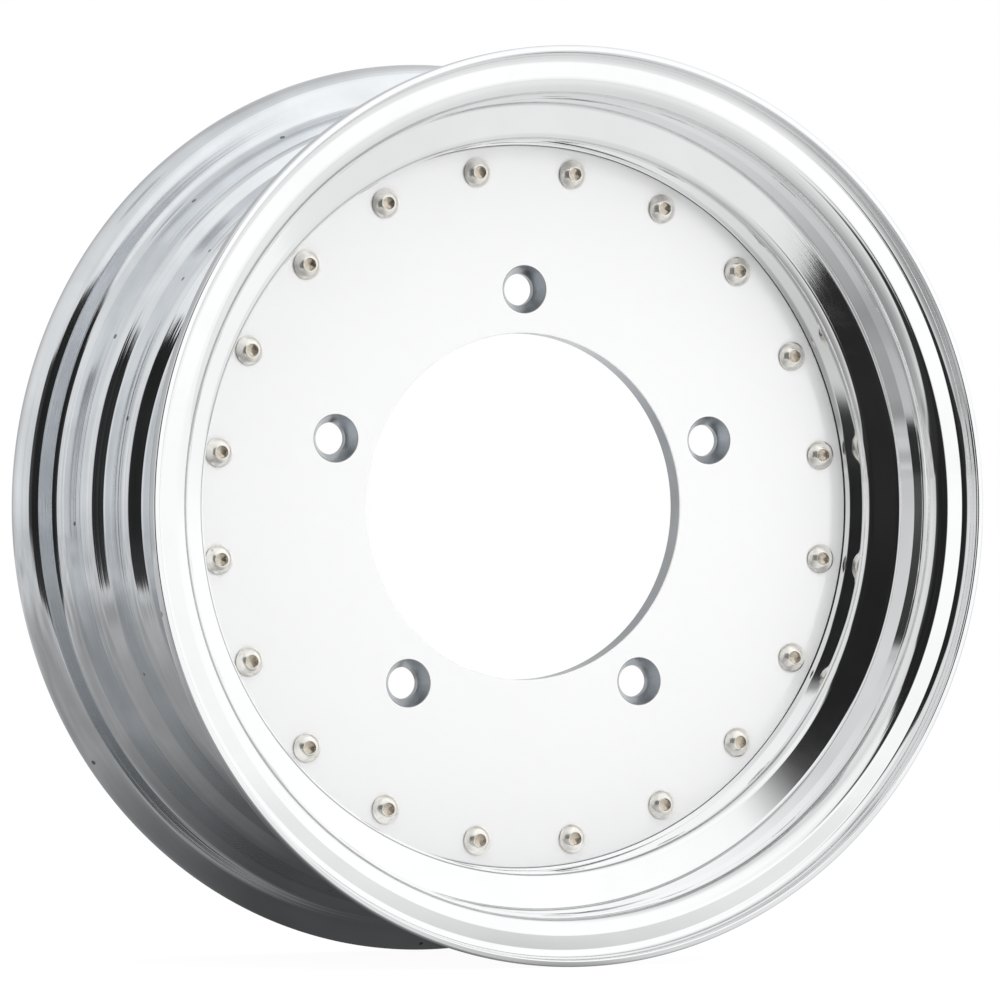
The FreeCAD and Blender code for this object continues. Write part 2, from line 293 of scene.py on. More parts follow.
def rim_path(sizes, front):
    """Corners on the air side of one spun half, from the mounting flange to the lip's edge.

    Each row has a corner's radius and station from its own lip, the angle of the normal of the wall that
    follows it, and the radii of its bend on the air side and on the tyre side. A normal's angle runs from
    0 on a cylinder to a right angle on a face across the axis.
    """
    g, across = sizes.gauge, math.pi / 2
    tan = math.tan
    back = sizes.disc_setback + sizes.disc_thickness
    edge = (0.0004, 0.0004)
    b = sizes.front_bend if front else sizes.rear_bend
    closed, opened, soft = (b, b + g), (b + g, b), (0.006, 0.006)
    if front:
        foot = sizes.disc_setback - sizes.mouth_length
        base = sizes.disc_radius + sizes.mouth_gap
        mouth = base + sizes.mouth_length * tan(sizes.mouth_taper)
        step, bead, deep = sizes.front_step, sizes.front_bead, sizes.front_lip_depth
        knee = bead - (step - sizes.front_knee - deep) * tan(sizes.front_seat_taper)
        seat = knee - sizes.front_knee * tan(sizes.front_knee_taper)
        lean, slope = tan(sizes.front_draft), tan(sizes.front_taper)
        low = (mouth + (foot - step - seat * lean) * slope) / (1 - lean * slope)
        rows = [
            (sizes.hub_edge, back, across) + edge,
            (base, back, 0.0, 0.0006, 0.0006 + g),
            (base, sizes.disc_setback, sizes.mouth_taper, 0.0002, 0.0002),
            (mouth, foot, sizes.front_taper) + soft,
            (low, step + (seat - low) * lean, across - sizes.front_draft) + opened,
            (seat, step, sizes.front_knee_taper) + closed,
            (knee, step - sizes.front_knee, sizes.front_seat_taper) + soft]
        rise, bead_bend, lip_bend, lip_at = across, sizes.front_bead_bend, sizes.front_lip_bend, deep
    else:
        flange = sizes.overall_width - back - 2 * g
        step, bead, lip_at = sizes.rear_step, sizes.rear_bead, sizes.rear_lip_depth
        deep = lip_at + (sizes.lip_radius - bead) * tan(sizes.rear_lean)
        seat = bead - (step - deep) * tan(sizes.rear_seat_taper)
        ledge, ledge_at = seat - sizes.rear_drop, step + sizes.rear_drop * tan(sizes.rear_draft)
        shelf = ledge - sizes.shelf_length * tan(sizes.shelf_taper)
        shelf_at = ledge_at + sizes.shelf_length
        low, low_at = shelf - sizes.low_drop, shelf_at + sizes.low_drop * tan(sizes.low_draft)
        rows = [
            (sizes.hub_edge, flange, across) + edge,
            (sizes.well_radius, flange, math.atan((low - sizes.well_radius) / (flange - low_at))) + closed,
            (low, low_at, across - sizes.low_draft) + opened,
            (shelf, shelf_at, sizes.shelf_taper) + closed,
            (ledge, ledge_at, across - sizes.rear_draft) + opened,
            (seat, step, sizes.rear_seat_taper) + closed]
        rise, bead_bend, lip_bend = across - sizes.rear_lean, sizes.rear_bead_bend, sizes.rear_lip_bend
    rows += [
        (bead, deep, rise, bead_bend + g, bead_bend),
        (sizes.lip_radius, lip_at, 0.0, lip_bend, lip_bend + g),
        (sizes.lip_radius, 0.0, 0.0, sizes.lip_round, sizes.lip_round)]
    return np.array(rows)


def rim_outline(sizes, front):
    """Closed outline of one spun half: its air side, and its tyre side one gauge outside it.

    Where walls with normals at angles a and b meet, the outer corner lies gauge / cos((a - b) / 2) away
    from the inner one, in the direction of the angle (a + b) / 2.
    """
    rows = rim_path(sizes, front)
    after = rows[:, 2]
    before = np.concatenate(([math.pi / 2], after[:-1]))
    away = (sizes.gauge / np.cos((after - before) / 2))[:, None]
    middle = (after + before) / 2
    tyre = rows[:, :2] + away * np.stack([np.cos(middle), np.sin(middle)], axis=1)
    return np.concatenate([rows[:, :2], tyre[::-1]]), np.concatenate([rows[:, 3], rows[::-1, 4]])


class WHEEL_OT_rim_halves(bpy.types.Operator):
    """Spins both rim halves from their filleted sections, with the valve hole in the front one."""

    bl_idname = "wheel.rim_halves"
    bl_label = "Rim halves"

    def execute(self, context):
        sizes = context.scene.wheel_sizes
        finish = context.scene.wheel_finish
        metals = [metal(name, finish) for name in ("rim_polish", "cut_aluminium", "rim_spun")]
        for name, front in (("outer_rim", True), ("inner_rim", False)):
            thing = spun_half(name, sizes, front, metals)
            settle(thing, "rim_aluminium", "outer_rim_half" if front else "inner_rim_half")
        return {"FINISHED"}


def even_rows(section, turned, first, last, centre, reach, count):
    """Section whose rows within reach of a station, on the wall first..last, are even ones.

    The station only rises or only falls along the wall, so radius and normal are read from it by
    straight interpolation. Returns the section, its normals and the number of the first new row.
    """
    wall = np.concatenate([section[first:last], turned[first:last]], axis=1)
    way = 1.0 if wall[-1, 1] > wall[0, 1] else -1.0
    key = way * wall[:, 1]
    even = np.linspace(way * centre - reach, way * centre + reach, count)
    new = np.stack([np.interp(even, key, wall[:, k]) for k in range(4)], axis=1)
    a, b = np.searchsorted(key, even[[0, -1]])
    wall = np.concatenate([wall[:a], new, wall[b:]])
    section = np.concatenate([section[:first], wall[:, :2], section[last:]])
    turned = np.concatenate([turned[:first], wall[:, 2:], turned[last:]])
    return section, turned, first + int(a)


def spun_half(name, sizes, front, materials):
    """One spun half: the section with rounded bends turned about Y, the front one pierced for the valve.

    Both walls of the front half get even rows where the valve hole is. There a window is left out of
    each wall, and rings of points lead from it to the round hole: a point of the hole at angle t has
    y = yc + r cos t, z = r sin t and x = -sqrt(R(y)^2 - z^2), with R(y) read from the wall's rows.
    """
    corners, radii = rim_outline(sizes, front)
    steps, rows, bend, beside = 400, 21, 11, 6
    reach, edge_round = 0.0064, 0.0004
    arcs, arc_normals = rounded_corners(corners, radii, bend)
    section, turned = arcs.reshape(-1, 2), arc_normals.reshape(-1, 2)
    starts, half = [], len(section) // 2
    if front:
        for first, last in ((bend, 5 * bend), (-5 * bend, -bend)):
            before = len(section)
            section, turned, low = even_rows(
                section, turned, first % len(section), last % len(section),
                sizes.valve_setback, reach, rows)
            starts.append(low)
            half += len(section) - before if first > 0 else 0
    section[:, 1] -= sizes.overall_width / 2
    if not front:
        section[:, 1] *= -1
        turned[:, 1] *= -1
    points, normals, quads = lathe(section, turned, steps)
    keep = np.ones(quads.shape[:2], bool)
    faces, marks = [], []
    if front:
        first, last = steps // 2 - beside, steps // 2 + beside
        yc = sizes.valve_setback - sizes.overall_width / 2
        loops = []
        for low, out in zip(starts, (-1.0, 1.0)):
            high = low + rows - 1
            keep[low:high, first:last] = False
            ends = (low, high) if out < 0 else (high, low)
            edge = window(*ends, first, last, steps)
            t = np.arctan2(points[edge, 2], points[edge, 1] - yc)
            wall = np.concatenate([section, turned], axis=1)[low:high + 1]
            wall = wall[np.argsort(wall[:, 1])]
            rings = []
            for radius, sink in ((sizes.valve_radius + edge_round, 0.0), (sizes.valve_radius, edge_round)):
                y, z = yc + radius * np.cos(t), radius * np.sin(t)
                big = np.interp(y, wall[:, 1], wall[:, 0])
                x = -(np.sqrt(big ** 2 - z ** 2) - out * sink)
                lean = np.interp(y, wall[:, 1], wall[:, 3])
                flat = np.interp(y, wall[:, 1], wall[:, 2]) / big
                outer = np.stack([flat * x, lean, flat * z], axis=1)
                inner = np.stack([0 * t, -np.cos(t), -np.sin(t)], axis=1)
                rings.append(np.arange(len(t)) + len(points))
                points = np.concatenate([points, np.stack([x, y, z], axis=1)])
                normals = np.concatenate([normals, inner if sink else outer])
            loops.append([edge] + rings)
        chain = np.array(loops[0] + loops[1][::-1])
        faces = [bands(chain)]
        marks = [np.repeat([0, 1, 1, 1, 2], len(chain[0]))]
    side = np.where(np.arange(len(section)) < half, 0, 2)
    marks = np.concatenate([np.repeat(side, steps).reshape(-1, steps)[keep]] + marks)
    return piece_from(name, points, np.concatenate([quads[keep]] + faces), normals, marks, materials)


class WHEEL_OT_center_disc(bpy.types.Operator):
    """Turns the flat centre disc with its hub bore and countersunk bolt seats."""

    bl_idname = "wheel.center_disc"
    bl_label = "Centre disc"

    def execute(self, context):
        sizes = context.scene.wheel_sizes
        finish = context.scene.wheel_finish
        metals = [metal(name, finish) for name in ("disc_polish", "cut_aluminium")]
        thing = drilled_disc("disc_plate", sizes, metals)
        settle(thing, "disc_aluminium", "center_disc")
        return {"FINISHED"}


def drilled_disc(name, sizes, materials):
    """Flat ring turned about Y; each bolt seat replaces a window of the grid on both faces.

    Rings of points lead from the front window to the seat's mouth, down its cone, through the straight
    hole and out to the window on the back. A ring of radius q about the hole's centre c has the points
    c + q (cos t radial + sin t tangential), with t taken from the window's own points.
    """
    steps, rows, arc, wide = 480, 25, 6, 12
    front_y = sizes.disc_setback - sizes.overall_width / 2
    back_y = front_y + sizes.disc_thickness
    outside = sizes.disc_radius
    corners = np.array([
        (sizes.bore_radius, front_y), (outside, front_y), (outside, back_y), (sizes.bore_radius, back_y)])
    arcs, arc_normals = rounded_corners(corners, np.array([0.0005, 0.0007, 0.0013, 0.0005]), arc)
    reach = np.linspace(-0.0161, 0.0161, rows) + sizes.lug_circle
    front_rows = np.stack([reach, np.full(rows, front_y)], axis=1)
    back_rows = np.stack([reach[::-1], np.full(rows, back_y)], axis=1)
    ahead = np.tile([0.0, -1.0], (rows, 1))
    section = np.concatenate([arcs[0], front_rows, arcs[1], arcs[2], back_rows, arcs[3]])
    section_normals = np.concatenate([
        arc_normals[0], ahead, arc_normals[1], arc_normals[2], -ahead, arc_normals[3]])
    points, normals, quads = lathe(section, section_normals, steps)
    keep = np.ones(quads.shape[:2], bool)
    bore = np.zeros(quads.shape[:2], int)
    # The bore wall takes the cut aluminium, whose darker colour is painted shade.
    bore[-1] = 1
    front_low = arc
    back_low = 3 * arc + rows
    cone = math.radians(30.0)
    drop = (sizes.lug_seat - sizes.lug_hole) / math.tan(cone)
    deep = sizes.disc_thickness
    seat, hole = sizes.lug_seat, sizes.lug_hole
    e = 0.00022
    # ring radius, depth, share of the normal across the hole, share of it along Y
    rings = np.array([
        (seat + e, 0.0, 0.0, -1.0),
        (seat - e * math.tan(cone), e, -math.cos(cone), -math.sin(cone)),
        (hole + e * math.tan(cone), drop - e, -math.cos(cone), -math.sin(cone)),
        (hole, drop + e, -1.0, 0.0),
        (hole, deep - 2 * e, -1.0, 0.0),
        (hole + 2 * e, deep, 0.0, 1.0)])
    added, added_normals, extra, marks = [], [], [], []
    count = len(points)
    for k in range(sizes.lug_count):
        middle = steps // 4 + k * steps // sizes.lug_count
        keep[front_low:front_low + rows - 1, (np.arange(-wide, wide) + middle) % steps] = False
        keep[back_low:back_low + rows - 1, (np.arange(-wide, wide) + middle) % steps] = False
        edge = window(front_low, front_low + rows - 1, middle - wide, middle + wide, steps)
        rear = window(back_low + rows - 1, back_low, middle - wide, middle + wide, steps)
        a = middle * 2 * np.pi / steps
        radial = np.array([np.cos(a), 0.0, np.sin(a)])
        across = np.array([-np.sin(a), 0.0, np.cos(a)])
        offset = points[edge] - sizes.lug_circle * radial
        t = np.arctan2(offset @ across, offset @ radial)
        spoke = np.cos(t)[:, None] * radial + np.sin(t)[:, None] * across
        centre = sizes.lug_circle * radial
        loop = centre + rings[:, 0, None, None] * spoke[None]
        loop[:, :, 1] = front_y + rings[:, 1, None]
        turned = rings[:, 2, None, None] * spoke[None]
        turned[:, :, 1] = rings[:, 3, None]
        added.append(loop.reshape(-1, 3))
        added_normals.append(turned.reshape(-1, 3))
        inner = np.arange(len(rings) * len(t)).reshape(len(rings), len(t)) + count
        count += inner.size
        chain = np.concatenate([edge[None], inner, rear[None]])
        extra.append(bands(chain))
        marks.append(np.repeat([0, 1, 1, 1, 1, 1, 0], len(t)))
    points = np.concatenate([points] + added)
    normals = np.concatenate([normals] + added_normals)
    all_marks = np.concatenate([bore[keep]] + marks)
    return piece_from(name, points, np.concatenate([quads[keep]] + extra), normals, all_marks, materials)


def hex_radius(t, flats):
    """Radius of a regular hexagon at angle t: half the width over the cosine of the angle to the flat."""
    return flats / 2 / np.cos((t + np.pi / 6) % (np.pi / 3) - np.pi / 6)


def ring_of(shape_radius, shape_y, count, circle, first_pole, last_pole, closed=False):
    """Quads and points of like turned pieces set round the wheel's axis.

    shape_radius and shape_y give loops x columns; a column at angle t stands at radius times
    (cos t, sin t) about the piece's own axis. Poles are the y of a centre point that closes an end.
    Piece k is turned to the angle of its place on the circle.
    """
    loops, columns = shape_radius.shape
    t = np.arange(columns) * 2 * np.pi / columns
    local = np.stack([
        shape_radius * np.cos(t), shape_y, shape_radius * np.sin(t)], axis=2).reshape(-1, 3)
    grid = np.arange(loops * columns).reshape(loops, columns)
    rows = np.concatenate([grid, grid[:1]]) if closed else grid
    quads = [bands(rows)]
    poles = []
    for y, loop in ((first_pole, grid[0]), (last_pole, grid[-1][::-1])):
        if y is None:
            continue
        tip = np.full(columns, len(local) + len(poles))
        poles.append((0.0, y, 0.0))
        quads.append(np.stack([np.roll(loop, -1), loop, tip, tip], axis=1))
    if poles:
        local = np.concatenate([local, np.array(poles)])
    quads = np.concatenate(quads)
    a = (np.arange(count) + 0.5) * 2 * np.pi / count
    x = local[None, :, 0] * np.cos(a)[:, None] - local[None, :, 2] * np.sin(a)[:, None]
    z = local[None, :, 0] * np.sin(a)[:, None] + local[None, :, 2] * np.cos(a)[:, None]
    x = x + circle * np.cos(a)[:, None]
    z = z + circle * np.sin(a)[:, None]
    y = np.broadcast_to(local[:, 1], x.shape)
    points = np.stack([x, y, z], axis=2).reshape(-1, 3)
    every = (quads[None] + (np.arange(count) * len(local))[:, None, None]).reshape(-1, 4)
    return points, every


class WHEEL_OT_rim_screws(bpy.types.Operator):
    """Sets the ring of button-head screws with hexagon sockets and threaded ends."""

    bl_idname = "wheel.rim_screws"
    bl_label = "Clamping screws"

    def execute(self, context):
        sizes = context.scene.wheel_sizes
        finish = context.scene.wheel_finish
        metals = [metal(name, finish) for name in ("screw_nickel", "socket_nickel")]
        thing = button_screws("rim_screws", sizes, metals)
        settle(thing, "screw_steel")
        return {"FINISHED"}


def button_screws(name, sizes, materials):
    """Screws as loops from the socket floor over the dome to the threaded end.

    The dome is an arc of radius d through its top rim and its foot. On the thread, the radius falls by
    the thread depth times a triangle wave of (y / pitch - t / 2 pi).
    """
    columns = 48
    t = np.arange(columns) * 2 * np.pi / columns
    one = np.ones(columns)
    base = sizes.disc_setback - sizes.overall_width / 2
    top = base - sizes.head_height
    end = base + sizes.screw_length
    flats = hex_radius(t, sizes.socket_flats)
    flat_rim, foot, dome = 0.0033, 0.0009, 0.0074
    # depths below the head's top of the socket's floor, wall and mouth
    depths = (0.0019, 0.0017, 0.0016, 0.0003, 0.00005, 0.0)
    tip_depth = 0.0021
    p = np.array([flat_rim, top])
    q = np.array([sizes.head_radius, base - foot])
    chord = q - p
    size = np.linalg.norm(chord)
    inward = np.array([-chord[1], chord[0]]) / size
    centre = (p + q) / 2 + inward * math.sqrt(dome ** 2 - (size / 2) ** 2)
    from_angle = math.atan2(p[1] - centre[1], p[0] - centre[0])
    to_angle = math.atan2(q[1] - centre[1], q[0] - centre[0])
    sweep = np.linspace(from_angle, to_angle, 10)
    radius = [flats * 0.5, flats * 0.97, flats, flats, one * 0.00302, one * 0.00318]
    station = [one * (top + depth) for depth in depths]
    radius += list((centre[0] + dome * np.cos(sweep))[:, None] * one)
    station += list((centre[1] + dome * np.sin(sweep))[:, None] * one)
    r = sizes.head_radius
    radius += [one * r, one * (r - 0.0001), one * (r - 0.0003), one * sizes.screw_radius]
    station += [one * (base - 0.0003), one * (base - 0.0001), one * base, one * (base + 0.00005)]
    pitch, cut, threaded, point = 0.00125, 0.00058, 0.0085, 0.0009
    y = np.arange(end - threaded, end - point, pitch / 8)
    wave = np.abs(((y[:, None] / pitch - t[None, :] / (2 * np.pi)) % 1.0) - 0.5) * 2
    fade = np.clip((y - y[0]) / 0.001, 0, 1)[:, None]
    radius += [one * sizes.screw_radius]
    station += [one * (y[0] - pitch / 8)]
    radius += list(sizes.screw_radius - cut * fade * wave)
    station += list(y[:, None] * one)
    radius += [one * (sizes.screw_radius - 0.0004), one * (sizes.screw_radius - point)]
    station += [one * (end - 0.0005), one * end]
    radius, station = np.array(radius), np.array(station)
    points, quads = ring_of(
        radius, station, sizes.screw_count, sizes.screw_circle, top + tip_depth, end)
    loop = (quads[:, 0] % (radius.size + 2)) // columns
    tip = quads[:, 2] % (radius.size + 2) == radius.size
    # The socket's loops and its floor's tip take the darker socket nickel: painted shade in the recess.
    marks = np.where((loop < 4) | tip, 1, 0)
    # The loops run down from the socket, so the faces are turned to face outward.
    return piece_from(name, points, quads[:, [1, 0, 3, 2]], None, marks, materials, math.radians(32))


class WHEEL_OT_rim_nuts(bpy.types.Operator):
    """Sets the ring of flange nuts behind the stack."""

    bl_idname = "wheel.rim_nuts"
    bl_label = "Flange nuts"

    def execute(self, context):
        sizes = context.scene.wheel_sizes
        thing = flange_nuts("rim_nuts", sizes, [metal("nut_zinc", context.scene.wheel_finish)])
        settle(thing, "nut_steel")
        return {"FINISHED"}


def flange_nuts(name, sizes, materials):
    """Nuts as closed loops: bore, chamfered hexagon and skirt.

    The hexagon's top edge falls by (h - c) tan 30 where its radius h passes the chamfer circle c.
    """
    columns = 48
    t = np.arange(columns) * 2 * np.pi / columns
    one = np.ones(columns)
    base = sizes.disc_setback + sizes.disc_thickness + 2 * sizes.gauge - sizes.overall_width / 2
    top = base + sizes.nut_height
    flats = hex_radius(t, sizes.nut_flats)
    ring = sizes.nut_flats / 2 * 0.97
    fall = (flats - ring) * math.tan(math.radians(30))
    bore = sizes.screw_radius - 0.0002
    skirt = 0.0086
    rows = [
        (one * bore, one * base), (one * bore, one * (top - 0.0006)), (one * (bore + 0.0006), one * top),
        (one * ring, one * top), (flats, top - fall), (flats, one * (base + 0.0026)),
        (flats + 0.0002, one * (base + 0.0023)), (one * (skirt - 0.0002), one * (base + 0.0016)),
        (one * skirt, one * (base + 0.0013)), (one * skirt, one * (base + 0.0003)),
        (one * (skirt - 0.0003), one * base)]
    radius = np.array([row[0] for row in rows])
    station = np.array([row[1] for row in rows])
    points, quads = ring_of(
        radius, station, sizes.screw_count, sizes.screw_circle, None, None, closed=True)
    return piece_from(name, points, quads, None, None, materials, math.radians(25))


class WHEEL_OT_seam_sealant(bpy.types.Operator):
    """Lays the bead of sealant in the groove where the halves meet."""

    bl_idname = "wheel.seam_sealant"
    bl_label = "Seam sealant"

    def execute(self, context):
        thing = seam_bead("seam_sealant", context.scene.wheel_sizes,
                          [sealant_material(context.scene.wheel_finish)])
        settle(thing, "sealant")
        return {"FINISHED"}


def seam_bead(name, sizes, materials):
    """Closed oval section carried round the seam; its height wavers by a sum of low sines."""
    steps, around = 360, 16
    join = sizes.disc_setback + sizes.disc_thickness + sizes.gauge - sizes.overall_width / 2
    u = np.arange(around) * 2 * np.pi / around
    a = np.arange(steps) * 2 * np.pi / steps
    tall, wide, sunk, ripple = 0.0012, 0.0030, 0.0024, 0.00012
    waver = ripple * (np.sin(7 * a + 0.4) + 0.8 * np.sin(13 * a + 2.0) + 0.6 * np.sin(29 * a + 1.1))
    middle = sizes.well_radius + sizes.gauge - sunk
    radius = middle + (tall * np.sin(u))[:, None] + waver[None, :] * (np.sin(u) > 0)[:, None]
    y = join + (wide * np.cos(u))[:, None] + 0 * a[None, :]
    points = np.stack([radius * np.cos(a), y, radius * np.sin(a)], axis=2).reshape(-1, 3)
    grid = np.arange(around * steps).reshape(around, steps)
    rows = np.concatenate([grid, grid[:1]])
    return piece_from(name, points, bands(rows), None, None, materials, math.radians(60))


# Materials


def node_in(tree, kind, settings=None, inputs=None):
    """Adds a node, with its settings and the values of its unlinked inputs."""
    node = tree.nodes.new(kind)
    for key, value in (settings or {}).items():
        setattr(node, key, value)
    for key, value in (inputs or {}).items():
        node.inputs[key].default_value = value
    return node


def new_group(name, takes, gives):
    """Empty shader node group with float or vector inputs and float outputs."""
    tree = bpy.data.node_groups.new(name, "ShaderNodeTree")
    for label, kind, value in takes:
        socket = tree.interface.new_socket(name=label, in_out="INPUT", socket_type=kind)
        if value is not None:
            socket.default_value = value
    for label in gives:
        tree.interface.new_socket(name=label, in_out="OUTPUT", socket_type="NodeSocketFloat")
    return tree, tree.nodes.new("NodeGroupInput"), tree.nodes.new("NodeGroupOutput")


def wire(tree, *ends):
    """Links nodes: each row gives a node, its output, the next node and that one's input."""
    for source, given, target, taken in ends:
        tree.links.new(source.outputs[given], target.inputs[taken])


def polish_group():
    """Marks of polished metal: rings left by turning, soft haze and small specks.

    Rings is noise over (distance from the spin axis, y), so it doesn't change round the wheel. Haze is
    broad noise in space, and Specks are the centres of sparse cells.
    """
    name = "polish_marks"
    if name in bpy.data.node_groups:
        return bpy.data.node_groups[name]
    tree, given, made = new_group(name, [
        ("Vector", "NodeSocketVector", None),
        ("Ring Density", "NodeSocketFloat", 1500.0),
        ("Haze Scale", "NodeSocketFloat", 14.0),
        ("Speck Scale", "NodeSocketFloat", 160.0),
        ("Speck Size", "NodeSocketFloat", 0.06)], ["Rings", "Haze", "Specks"])
    apart = node_in(tree, "ShaderNodeSeparateXYZ")
    flat = node_in(tree, "ShaderNodeCombineXYZ")
    far = node_in(tree, "ShaderNodeVectorMath", {"operation": "LENGTH"})
    polar = node_in(tree, "ShaderNodeCombineXYZ")
    rings = node_in(tree, "ShaderNodeTexNoise", {"noise_dimensions": "2D"}, {
        "Detail": 3.0, "Roughness": 0.6})
    haze = node_in(tree, "ShaderNodeTexNoise", None, {"Detail": 4.0, "Roughness": 0.55, "Distortion": 0.6})
    cells = node_in(tree, "ShaderNodeTexVoronoi", {"feature": "F1"})
    speck = node_in(tree, "ShaderNodeMath", {"operation": "LESS_THAN"})
    wire(
        tree, (given, "Vector", apart, 0), (apart, "X", flat, "X"), (apart, "Z", flat, "Y"),
        (flat, 0, far, 0), (far, "Value", polar, "X"), (apart, "Y", polar, "Y"),
        (polar, 0, rings, "Vector"), (given, "Ring Density", rings, "Scale"),
        (given, "Vector", haze, "Vector"), (given, "Haze Scale", haze, "Scale"),
        (given, "Vector", cells, "Vector"), (given, "Speck Scale", cells, "Scale"),
        (cells, "Distance", speck, 0), (given, "Speck Size", speck, 1),
        (rings, "Fac", made, "Rings"), (haze, "Fac", made, "Haze"), (speck, 0, made, "Specks"))
    return tree


def new_material(name):
    """Node material with only its Principled shader and output."""
    material = bpy.data.materials.new(name)
    material.use_nodes = True
    tree = material.node_tree
    shader = next(node for node in tree.nodes if node.type == "BSDF_PRINCIPLED")
    return material, tree, shader


# Colour in the finish, share of it left in haze and specks, roughness where clean and where hazed, depth
# of the turning lines in metres, the marks' densities and sizes, white film, and how far haze dulls.
Polish = namedtuple(
    "Polish", "colour dull smooth rough lines rings haze specks speck_size bloom stain", defaults=(0.0, 0.5))

POLISHES = {
    # Mirror-polished spun sheet with faint spinning rings
    "rim_polish": Polish("rim_colour", 0.9, 0.03, 0.09, 3e-6, 1400.0, 16.0, 120.0, 0.03),
    # Tyre side of the spun sheet: not polished out, with tool lines all round and a few pits
    "rim_spun": Polish("spun_colour", 0.3, 0.05, 0.13, 1.1e-4, 420.0, 22.0, 45.0, 0.06, stain=0.2),
    # Polished plate with hand-polishing haze
    "disc_polish": Polish("disc_colour", 0.985, 0.05, 0.09, 2e-6, 900.0, 9.0, 90.0, 0.02, bloom=0.95),
    # Freshly cut aluminium in the bores and bolt seats, with tool marks; its darker colour is painted shade
    # in the holes
    "cut_aluminium": Polish("cut_colour", 0.75, 0.14, 0.30, 1.2e-5, 2600.0, 40.0, 300.0, 0.02),
    # Bright nickel plate on the button heads
    "screw_nickel": Polish("screw_colour", 0.7, 0.14, 0.28, 4e-6, 3000.0, 300.0, 900.0, 0.05, bloom=0.2),
    # Darker, browner nickel in the sockets: painted shade in the recess
    "socket_nickel": Polish("socket_colour", 0.6, 0.22, 0.36, 4e-6, 3000.0, 500.0, 900.0, 0.05),
    # Zinc plate on the flange nuts
    "nut_zinc": Polish("nut_colour", 0.7, 0.22, 0.42, 4e-6, 2500.0, 250.0, 700.0, 0.08)}


def metal(name, finish):
    """One of the metals in POLISHES, with turning rings, haze and specks.

    The colour runs from the clean one towards a duller one with haze and specks, roughness runs from
    smooth to rough with haze, and the rings give a faint bump. Bloom is a white polish film: looked at
    straight it scatters that share of the light, and in the mirror of other metal it hardly shows.
    """
    if name in bpy.data.materials:
        return bpy.data.materials[name]
    polish = POLISHES[name]
    colour = getattr(finish, polish.colour)
    material, tree, shader = new_material(name)
    where = node_in(tree, "ShaderNodeTexCoord")
    marks = node_in(tree, "ShaderNodeGroup", {"node_tree": polish_group()}, {
        "Ring Density": polish.rings, "Haze Scale": polish.haze,
        "Speck Scale": polish.specks, "Speck Size": polish.speck_size})
    haze = node_in(tree, "ShaderNodeMapRange", None, {
        "From Min": 0.35, "From Max": 0.75, "To Min": polish.smooth, "To Max": polish.rough})
    tint = node_in(tree, "ShaderNodeMapRange", None, {
        "From Min": 0.4, "From Max": 0.8, "To Min": 0.0, "To Max": polish.stain})
    most = node_in(tree, "ShaderNodeMath", {"operation": "MAXIMUM"})
    mix = node_in(tree, "ShaderNodeMix", {"data_type": "RGBA"}, {
        "A": (*colour, 1.0), "B": (*shade(colour, polish.dull), 1.0)})
    bump = node_in(tree, "ShaderNodeBump", None, {"Strength": 1.0, "Distance": polish.lines})
    wire(
        tree, (where, "Object", marks, "Vector"), (marks, "Haze", haze, "Value"),
        (marks, "Haze", tint, "Value"), (tint, 0, most, 0), (marks, "Specks", most, 1),
        (most, 0, mix, "Factor"), (mix, "Result", shader, "Base Color"), (haze, 0, shader, "Roughness"),
        (marks, "Rings", bump, "Height"), (bump, "Normal", shader, "Normal"))
    shader.inputs["Metallic"].default_value = 1.0
    if polish.bloom:
        path = node_in(tree, "ShaderNodeLightPath")
        film = sum_of(tree, "MULTIPLY_ADD", path.outputs["Is Camera Ray"], -polish.bloom, 1.0)
        tree.links.new(film, shader.inputs["Metallic"])
    return material


def shade(colour, share):
    """A colour times a share."""
    return tuple(channel * share for channel in colour)


def sealant_material(finish):
    """Cured silicone with a soft sheen and uneven surface."""
    material, tree, shader = new_material("seam_silicone")
    where = node_in(tree, "ShaderNodeTexCoord")
    marks = node_in(tree, "ShaderNodeGroup", {"node_tree": polish_group()}, {"Haze Scale": 120.0})
    mix = node_in(tree, "ShaderNodeMix", {"data_type": "RGBA"}, {
        "A": (*finish.sealant_colour, 1.0), "B": (*shade(finish.sealant_colour, 0.7), 1.0)})
    bump = node_in(tree, "ShaderNodeBump", None, {"Strength": 0.5, "Distance": 0.0003})
    wire(
        tree, (where, "Object", marks, "Vector"), (marks, "Haze", mix, "Factor"),
        (mix, "Result", shader, "Base Color"), (marks, "Haze", bump, "Height"),
        (bump, "Normal", shader, "Normal"))
    shader.inputs["Roughness"].default_value = 0.45
    return material


# Stage


# Brightness of the room by azimuth from the front in degrees, plus to the right: at eye level and above.
ROOM_LEVELS = [
    (-180.0, 0.40), (-158.0, 0.46), (-145.0, 0.62), (-115.0, 0.74), (-98.0, 0.72), (-88.0, 0.58),
    (-76.0, 0.72), (-58.0, 0.64), (12.0, 0.85), (22.0, 1.00), (112.0, 1.00), (150.0, 0.70), (180.0, 0.40)]
ROOM_UPPER = [
    (-180.0, 0.48), (-150.0, 0.64), (-115.0, 0.70), (-60.0, 0.74), (-38.0, 0.68), (-14.0, 0.88),
    (4.0, 0.97), (22.0, 1.00), (70.0, 1.00), (110.0, 0.78), (150.0, 0.58), (180.0, 0.48)]
# Elevations in degrees between which eye level gives way to the upper wall, and that to the ceiling.
UPPER_WALL = (10.0, 35.0)
CEILING = (55.0, 85.0)
# Below the horizon, between these elevations, the room loses this share of its light.
HORIZON = (-3.5, 3.0)
HORIZON_LOSS = 0.08
# A darker beam under the ceiling: its azimuths, its lower and upper edges, and the share that it takes.
BEAM_TURN = (-88.0, -60.0)
BEAM_LOW = (54.0, 59.0)
BEAM_HIGH = (68.0, 63.0)
BEAM_DEPTH = 0.42
# The dark screen's top: where it is highest, its least height there, its raggedness and its two slopes.
SCREEN_PEAK = -25.0
SCREEN_TOP = 22.8
SCREEN_RAGGED = 8.0
SCREEN_FALL = 0.4
SCREEN_RISE = 0.2
